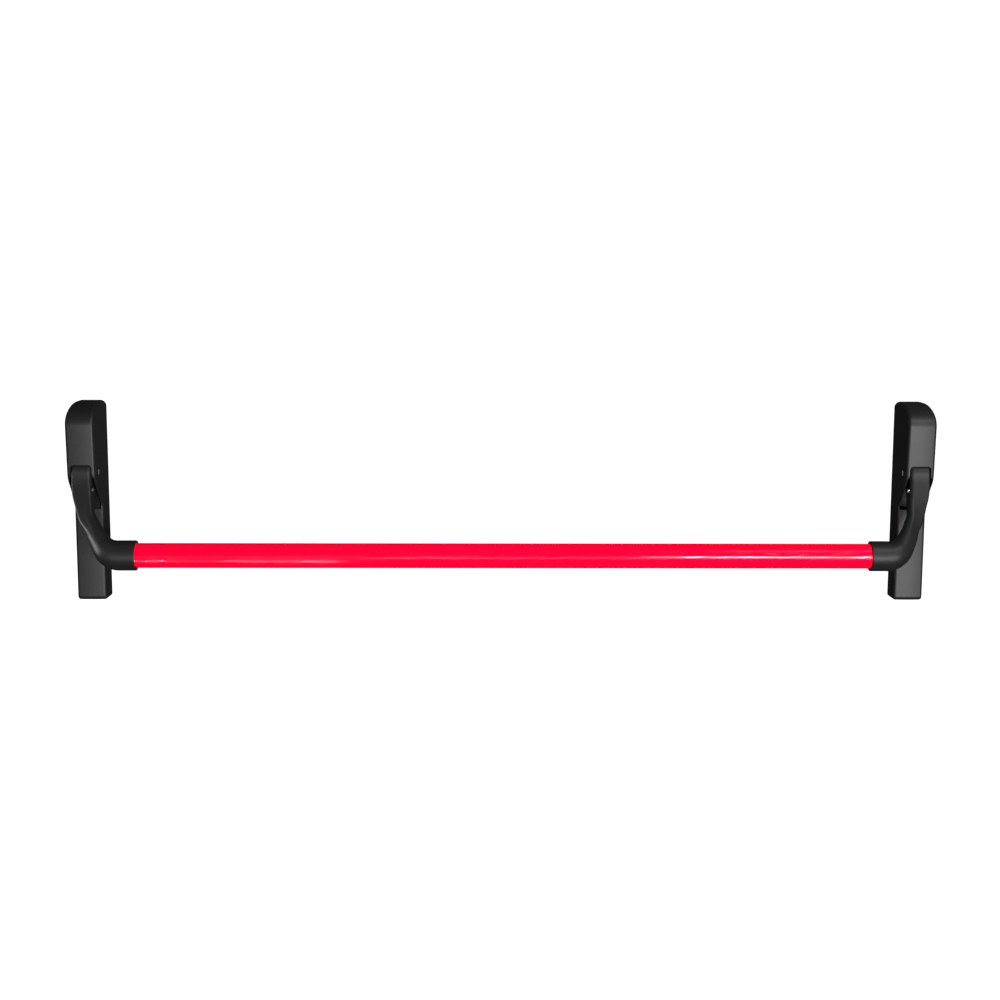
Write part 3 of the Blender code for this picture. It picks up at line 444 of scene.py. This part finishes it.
def crown_front(made, side):
    """Bows the front faces across their width, so that they fall away towards both sides."""
    bm = bmesh.new()
    bm.from_mesh(made.data)
    middle = side["matrix"].translation.x
    for step in range(-CROWN_STRIPS, CROWN_STRIPS + 1):
        x = middle + step * CROWN_HALF_WIDTH / (CROWN_STRIPS + 1)
        everything = bm.verts[:] + bm.edges[:] + bm.faces[:]
        bmesh.ops.bisect_plane(bm, geom=everything, plane_co=(x, 0, 0), plane_no=(1, 0, 0))
    for vert in bm.verts:
        share = min(1.0, -vert.co.y / CROWN_RISE)
        across = (vert.co.x - middle) / CROWN_HALF_WIDTH
        vert.co.y += CROWN * share * across**2
    bm.to_mesh(made.data)
    bm.free()


def weigh_cover_edges(mesh, side):
    """Large corners round the top and slim ones down the front and at the foot."""
    middle = side["matrix"].translation.x
    weights = mesh.attributes.new("bevel_weight_edge", "FLOAT", "EDGE")
    for edge in mesh.edges:
        a, b = (mesh.vertices[v].co for v in edge.vertices)
        if (a.x - middle) * (b.x - middle) < 0:
            continue
        height, depth = (a.z + b.z) / 2, abs(a.y + b.y) / 2
        if abs(a.y) < ON_DOOR and abs(b.y) < ON_DOOR:
            weight = 0.0
        elif height > HEAD_START:
            weight = 1.0 - 0.62 * max(0.0, (depth - 40 * MM) / (28 * MM))
        else:
            weight = 0.4
        weights.data[edge.index].value = weight


# ---------------------------------------------------------------- arms
HUB_SLICES = (84, 76, 68, 60, 52, 44, 36, 28, 20, 13, 6)
NECK_SECTIONS = [
    (0.0, 39.0, 0, 12.0, -63.0, -27.0, 5.0, 2.2),
    (0.0, 32.0, 1, 12.0, -64.0, -28.4, 5.0, 2.2),
    (0.3, 24.0, 4, 12.0, -66.2, -35.1, 5.0, 2.2),
    (1.6, 14.0, 10, 11.7, -70.0, -46.0, 5.0, 2.2),
    (4.2, 4.0, 16, 10.9, -75.0, -53.0, 5.2, 2.6),
    (8.8, -12.0, 26, 9.6, -85.5, -64.5, 6.5, 4.0),
    (15.3, -22.0, 32, 9.4, -94.0, -72.0, 8.0, 6.4),
    (19.9, -30.2, 34.7, 10.5, -101.5, -77.0, 10.0, 9.4),
    (27.4, -41.6, 41.2, 12.4, -111.0, -81.5, 12.4, 12.4),
    (31.8, -47.6, 57.8, 14.7, -115.0, -82.0, 14.7, 14.7),
    (37.9, -52.3, 72.7, 16.5, -117.4, -81.8, 16.5, 16.5),
    (43.8, -54.35, 83, 17.8, -118.2, -81.8, 17.8, 17.8),
]
BAR = Vector((0, -100 * MM, -55 * MM))
BAR_RADIUS = 15 * MM
BAR_OFFSET = 2.3 * MM
OFFSET_START = -5 * MM
OFFSET_RAMP = 37 * MM
RING_STEPS = 16
HUB_RADIUS = 18 * MM
HUB_HALF_WIDTH = 12 * MM
SOCKET_SECTIONS = ((46.7, 18.1), (49.5, 18.2), (59, 18.2))
SOCKET_LIP = ((0.9, 18.2), (0.45, 18.08), (0.12, 17.75), (0.0, 17.3))
SOCKET_END = 70.7 * MM
SOCKET_FLOOR = 46 * MM
SOCKET_BORE = 15.35 * MM
SPRING_PIN = Vector((-61 * MM, 19 * MM))
GRUB_X = 58.5 * MM


def ring(x, z, tilt, half_width, front, back, corner, outer_corner):
    """A rounded rectangle across the arm, in the plane of Y and the tilted width."""
    half_depth = (back - front) / 2
    middle_y = (back + front) / 2
    across = Vector((math.cos(tilt), 0, math.sin(tilt)))
    points = []
    for quarter, radius in enumerate((corner, corner, outer_corner, corner)):
        sign_u = 1 if quarter in (0, 3) else -1
        sign_v = 1 if quarter in (0, 1) else -1
        for step in range(RING_STEPS):
            angle = math.pi / 2 * (quarter + (step + 0.5) / RING_STEPS)
            u = sign_u * (half_width - radius) + radius * math.cos(angle)
            v = sign_v * (half_depth - radius) + radius * math.sin(angle)
            points.append(Vector((x, middle_y + v, z)) + across * u)
    return points


def blended(rows, per_span):
    """Rows along a smooth curve through the given rows."""
    out = []
    for n in range(len(rows) - 1):
        p0, p1 = rows[max(n - 1, 0)], rows[n]
        p2, p3 = rows[n + 1], rows[min(n + 2, len(rows) - 1)]
        for step in range(per_span):
            t = step / per_span
            row = []
            for a, b, c, d in zip(p0, p1, p2, p3):
                bend = 2 * a - 5 * b + 4 * c - d
                swing = 3 * b - a - 3 * c + d
                row.append(0.5 * (2 * b + (c - a) * t + bend * t * t + swing * t**3))
            out.append(tuple(row))
    return out + [rows[-1]]


def bar_offset_at(height, side):
    """How far a section of the arm leans towards the bar's offset, which grows smoothly."""
    share = min(1.0, max(0.0, (OFFSET_START - height) / OFFSET_RAMP))
    return side["inward"] * BAR_OFFSET * share**2 * (3 - 2 * share)


def socket_ring(x, radius, side):
    """A round section of the arm's socket."""
    x += side["inward"] * BAR_OFFSET
    return ring(x, BAR.z, math.pi / 2, radius, BAR.y - radius, BAR.y + radius, radius, radius)


def arm_rings(side):
    """The arm's skin, from the hub's top down the neck to the socket and into its bore."""
    rings = []
    for degrees in HUB_SLICES:
        angle = math.radians(degrees)
        reach = HUB_RADIUS * math.cos(angle)
        height = PIVOT.z + HUB_RADIUS * math.sin(angle)
        corners = min(5 * MM, reach), min(2.2 * MM, reach)
        front, back = PIVOT.y - reach, PIVOT.y + reach
        rings.append(ring(0, height, 0, HUB_HALF_WIDTH, front, back, *corners))
    for x, z, tilt, *sizes in blended(NECK_SECTIONS, 6):
        half_width, front, back, corner, outer_corner = (size * MM for size in sizes)
        corners = min(corner, half_width), min(outer_corner, half_width)
        middle = x * MM + bar_offset_at(z * MM, side)
        rings.append(ring(middle, z * MM, math.radians(tilt), half_width, front, back, *corners))
    for x, radius in SOCKET_SECTIONS:
        rings.append(socket_ring(x * MM, radius * MM, side))
    for inset, radius in SOCKET_LIP:
        rings.append(socket_ring(SOCKET_END - inset * MM, radius * MM, side))
    rings.append(socket_ring(SOCKET_END, 15.6 * MM, side))
    rings.append(socket_ring(SOCKET_END - 0.3 * MM, SOCKET_BORE, side))
    rings.append(socket_ring(SOCKET_FLOOR, SOCKET_BORE, side))
    return rings


def build_arm(side):
    """An arm with its spring channel, the tail that works the slide, and its bores."""
    made = piece(f"arm_casting_{side['name']}", lofted(arm_rings(side)), side)
    channel = rounded(
        [(-57 * MM, 60 * MM, 0), (-57 * MM, 30 * MM, 3 * MM), (-64 * MM, 14.5 * MM, 1.5 * MM),
         (-62 * MM, 12 * MM, 1.5 * MM), (-20 * MM, 12 * MM, 0), (-20 * MM, 60 * MM, 0)]
    )
    cut(made, extruded(channel, "YZ", -5.5 * MM, 5.5 * MM), side)
    cut(made, extruded(tail_outline(), "YZ", 5.8 * MM, 10.4 * MM), side, join=True)
    through = (PIVOT.y, PIVOT.z)
    for start, (y, z), radius in ((-20, through, 5.3), (-9.3, SPRING_PIN, 2.5)):
        cut(made, rod((start * MM, y, z), (20 * MM, y, z), radius * MM), side)
    grub_x = GRUB_X + side["inward"] * BAR_OFFSET
    grub = rod((grub_x, -90 * MM, BAR.z), (grub_x, -78 * MM, BAR.z), 2.8 * MM)
    cut(made, grub, side)
    finish_piece(made, "black_arm", "push_bar", f"arm_{side['name']}", 38)


def tail_outline():
    """The side view of the tooth behind the hub, which slopes down by 12 degrees."""
    turn = math.radians(12)
    along = Vector((math.cos(turn), -math.sin(turn)))
    across = Vector((math.sin(turn), math.cos(turn)))
    start = Vector((PIVOT.y, PIVOT.z))
    upper = [(8, 2.5), (29.5, 2.5), (30.5, 2.1), (31, 1.2)]
    points = upper + [(a, -b) for a, b in reversed(upper)]
    return [tuple(start + along * a * MM + across * b * MM) for a, b in points]


# ---------------------------------------------------------------- tube and springs
def build_tube(left, right):
    """The tube with its rolled-in ends, as one turned surface."""
    outer, inner = BAR_RADIUS, BAR_RADIUS - 1.5 * MM
    stations = [(left, inner), (left, outer - 0.4 * MM), (left + 0.4 * MM, outer)]
    steps = 24
    for n in range(1, steps):
        stations.append((left + (right - left) * n / steps, outer))
    stations += [(right - 0.4 * MM, outer), (right, outer - 0.4 * MM), (right, inner)]
    rings = []
    turns = [math.tau * (n + 0.5) / 96 for n in range(96)]
    circle = [Vector((0, math.cos(t), math.sin(t))) for t in turns]
    for x, radius in stations + [stations[0]]:
        centre = Vector((x, BAR.y, BAR.z))
        rings.append([centre + point * radius for point in circle])
    bm = lofted(rings, close=False)
    bmesh.ops.remove_doubles(bm, verts=bm.verts, dist=0.0000001)
    made = piece("bar_tube_coated", bm, WORLD)
    finish_piece(made, "red_tube", "push_bar", "bar_tube", 30)


def wire_mesh(name, points, radius, side, sides=14):
    """A round wire swept through the points, with rounded ends."""
    rings = []
    up = None
    count = len(points)
    for n, place in enumerate(points):
        way = (points[min(n + 1, count - 1)] - points[max(n - 1, 0)]).normalized()
        if up is None:
            up = way.orthogonal().normalized()
        up = (up - way * up.dot(way)).normalized()
        cross = way.cross(up)
        turns = [math.tau * k / sides for k in range(sides)]
        circle = [up * math.cos(t) + cross * math.sin(t) for t in turns]
        if n == 0:
            rings.append([place - way * radius * 0.3 + c * radius * 0.7 for c in circle])
        rings.append([place + c * radius for c in circle])
        if n == count - 1:
            rings.append([place + way * radius * 0.3 + c * radius * 0.7 for c in circle])
    return piece(name, lofted(rings), side)


def return_spring_points():
    """The CAD spring's route with a finer step: leg down to the coil, coil, leg to the pin."""
    coil, start_x, turns = 5.6 * MM, 4.4 * MM, 4
    pivot = Vector((PIVOT.y, PIVOT.z))
    reach = (SPRING_PIN - pivot).normalized()
    foot = SPRING_PIN + Vector((-reach.y, reach.x)) * 3.35 * MM + reach * 1.5 * MM
    gone = foot - pivot
    leave = math.atan2(gone.y, gone.x) + math.acos(coil / gone.length)
    span = math.tau * turns + (-leave % math.tau)
    pitch = 2 * start_x / span
    points = [Vector((start_x, pivot.x + coil, 63 * MM - 3 * MM * n)) for n in range(8)]
    steps = 200
    for step in range(steps + 1):
        angle = span * step / steps
        y, z = pivot.x + coil * math.cos(angle), pivot.y - coil * math.sin(angle)
        points.append(Vector((start_x - pitch * angle, y, z)))
    last = points[-1].copy()
    end = Vector((last.x, foot.x, foot.y))
    for n in range(1, 7):
        points.append(last.lerp(end, n / 6))
    return points


def build_return_spring(side):
    """A torsion spring's coil, set between its housing and its arm."""
    made = wire_mesh(f"torsion_spring_{side['name']}", return_spring_points(), 0.85 * MM, side)
    made.data.shade_smooth()
    made.data.materials.append(FINISHES["spring_steel"].material)
    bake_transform(made)
    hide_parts(f"return_spring_{side['name']}")


def build_slide_spring():
    """A compression spring with closed ends, between its seat and the drive slide."""
    low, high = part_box("slide_spring")
    radius, wire = 4.1 * MM, 0.5 * MM
    top, bottom = high.z - wire, low.z + wire
    y = (low.y + high.y) / 2
    turns, closed, per_turn = 8, 0.9, 28
    steps = int((turns + 2 * closed) * per_turn)
    closed_pitch = 1.05 * 2 * wire
    free = (top - bottom) - 2 * closed * closed_pitch
    points = []
    for step in range(steps + 1):
        turn = step / per_turn
        ground = min(turn, closed) + min(max(turn - turns - closed, 0), closed)
        open_part = min(max(turn - closed, 0), turns) / turns
        height = top - ground * closed_pitch - open_part * free
        angle = math.tau * turn
        points.append(Vector((radius * math.cos(angle), y + radius * math.sin(angle), height)))
    made = wire_mesh("slide_coil", points, wire, WORLD, 12)
    made.data.shade_smooth()
    made.data.materials.append(FINISHES["spring_steel"].material)
    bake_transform(made)
    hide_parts("slide_spring")


# ---------------------------------------------------------------- light, floor, camera
def area_light(name, place, target, size, power, colour=(1, 1, 1)):
    """A rectangular light, turned towards its target."""
    data = bpy.data.lights.new(name, "AREA")
    data.shape = "RECTANGLE"
    data.size, data.size_y = size
    data.energy = power
    data.color = colour
    made = bpy.data.objects.new(name, data)
    bpy.context.scene.collection.objects.link(made)
    made.location = place
    made.rotation_mode = "QUATERNION"
    made.rotation_quaternion = (Vector(target) - Vector(place)).to_track_quat("-Z", "Y")
    return made


def build_world():
    """Surroundings that look white to the camera and light the part only dimly."""
    world = bpy.data.worlds.new("studio")
    bpy.context.scene.world = world
    world.use_nodes = True
    tree = world.node_tree
    background = tree.nodes["Background"]
    background.inputs["Color"].default_value = (1, 1, 1, 1)
    background.inputs["Strength"].default_value = 0.05
    bright = tree.nodes.new("ShaderNodeBackground")
    bright.inputs["Color"].default_value = (1, 1, 1, 1)
    bright.inputs["Strength"].default_value = 1.05
    chooser = tree.nodes.new("ShaderNodeMixShader")
    path = tree.nodes.new("ShaderNodeLightPath")
    tree.links.new(path.outputs["Is Camera Ray"], chooser.inputs["Fac"])
    tree.links.new(background.outputs[0], chooser.inputs[1])
    tree.links.new(bright.outputs[0], chooser.inputs[2])
    tree.links.new(chooser.outputs[0], tree.nodes["World Output"].inputs["Surface"])


def build_floor():
    """A pale floor below the part."""
    bm = bmesh.new()
    bmesh.ops.create_grid(bm, x_segments=8, y_segments=8, size=14)
    mesh = bpy.data.meshes.new("floor")
    bm.to_mesh(mesh)
    bm.free()
    floor = bpy.data.objects.new("floor", mesh)
    floor.location = (0.51, 0, -0.75)
    bpy.context.scene.collection.objects.link(floor)
    pale = Finish("pale_floor", (0.9, 0.9, 0.9), 0.9)
    pale.shader.inputs["Emission Color"].default_value = (1, 1, 1, 1)
    pale.shader.inputs["Emission Strength"].default_value = 1.1
    pale.set("Base Color", pale.mix(pale.noise(3, 4), (0.89, 0.89, 0.89), (0.92, 0.92, 0.92)))
    mesh.materials.append(pale.material)
    floor.visible_glossy = False
    floor.visible_diffuse = False


def build_lights():
    """Soft lights in front, above and behind, and small ones for single highlights."""
    middle = (0.51, -0.03, 0)
    area_light("front_key", (1.3, -2.9, -0.6), middle, (2.4, 1.2), 140)
    area_light("front_fill", (-0.5, -3.0, -0.5), middle, (2.0, 1.4), 34)
    area_light("high_right", (1.35, -1.1, 1.4), (1.02, -0.08, 0), (0.6, 0.5), 17)
    area_light("high_strip", (1.45, -2.4, 1.2), (1.1, 0, 0), (0.7, 0.06), 13)
    area_light("right_soft", (1.36, -2.6, -0.1), (1.2, 0, -0.05), (0.6, 0.3), 32)
    for name, x in (("back_left", -1.7), ("back_right", 2.7)):
        back = area_light(name, (x, 2.3, 0.6), middle, (1.4, 1.2), 45)
        only_lights(back, "base_plate_left", "base_plate_right", "bar_tube_coated", diffuse=True)
    rim = area_light("rim_left", (-1.6, -0.35, 0.2), (0, -0.08, 0), (0.3, 0.9), 45)
    only_lights(rim, "arm_casting_left")
    pink = (1, 0.7, 1)
    place, target = (1.45, -2.6, -0.1), (1.45, 0, -0.05)
    streak = area_light("streak_right", place, target, (1.0, 0.04), 1300, pink)
    only_lights(streak, "bar_tube_coated")
    place, target = (0.0, -0.82, -0.7), (0.0, -0.1, -0.05)
    streak = area_light("streak_left", place, target, (0.5, 0.008), 190, pink)
    only_lights(streak, "bar_tube_coated")
    behind = area_light("behind", (0.49, 2.0, -0.2), (0.49, 0, 0), (0.4, 0.3), 0.25)
    only_lights(behind, "pivot_pin_left", "pivot_pin_right")
    glint = area_light("pin_glint", (0.755, 0.9, -0.14), (1.01, 0, 0), (0.12, 0.12), 0.07)
    only_lights(glint, "spring_pin_right")


def only_lights(light, *names, diffuse=False):
    """Keeps a light off everything but the named pieces, and out of sight."""
    light.visible_camera = False
    light.visible_diffuse = diffuse
    receivers = bpy.data.collections.new(f"{light.name}_receivers")
    for name in names:
        receivers.objects.link(bpy.data.objects[name])
    light.light_linking.receiver_collection = receivers


def build_camera():
    """A view from the front, from slightly above the part."""
    data = bpy.data.cameras.new("camera")
    data.sensor_width = 36
    data.lens = 56.0
    made = bpy.data.objects.new("camera", data)
    yaw, pitch, roll = (math.radians(a) for a in (-0.714, -8.07, -0.183))
    turn = Matrix.Rotation(yaw, 3, "Z") @ Matrix.Rotation(pitch, 3, "X")
    turn = turn @ Matrix.Rotation(roll, 3, "Y")
    right, forward, up = (turn @ Vector(v) for v in ((1, 0, 0), (0, 1, 0), (0, 0, 1)))
    axes = Matrix((right, up, -forward)).transposed().to_4x4()
    made.matrix_world = Matrix.Translation((0.4851, -1.9416, 0.2739)) @ axes
    bpy.context.scene.collection.objects.link(made)
    bpy.context.scene.camera = made


# ---------------------------------------------------------------- assembly
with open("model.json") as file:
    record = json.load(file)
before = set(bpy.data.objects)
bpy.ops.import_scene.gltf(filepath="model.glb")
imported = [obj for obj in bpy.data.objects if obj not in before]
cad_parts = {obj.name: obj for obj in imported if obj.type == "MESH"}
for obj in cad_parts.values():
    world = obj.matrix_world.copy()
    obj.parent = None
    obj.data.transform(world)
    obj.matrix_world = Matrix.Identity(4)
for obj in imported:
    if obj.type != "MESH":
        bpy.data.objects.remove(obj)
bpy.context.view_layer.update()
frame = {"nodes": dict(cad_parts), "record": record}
mounts = {m["name"]: Vector(m["pos_m"]) for m in frame["record"]["mounts"]}
sides = []
housings = (("left", "door_face_active", 1), ("right", "door_face_passive", -1))
for side_name, mount, inward in housings:
    place = Matrix.Translation(mounts[mount]) @ Matrix.Scale(inward, 4, (1, 0, 0))
    sides.append({"name": side_name, "matrix": place, "inward": inward})

make_finishes()
slots = {s["node"]: s["material_slot"] for s in frame["record"]["subparts"]}
for node_name, node_object in frame["nodes"].items():
    node_object.data.materials.clear()
    node_object.data.materials.append(FINISHES[slots[node_name]].material)

for one in sides:
    build_cover(one)
    build_arm(one)
    build_return_spring(one)
tube_low, tube_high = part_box("bar_tube")
build_tube(tube_low.x, tube_high.x)
build_slide_spring()
build_world()
build_floor()
build_lights()
build_camera()
bpy.context.scene.view_settings.view_transform = "Standard"
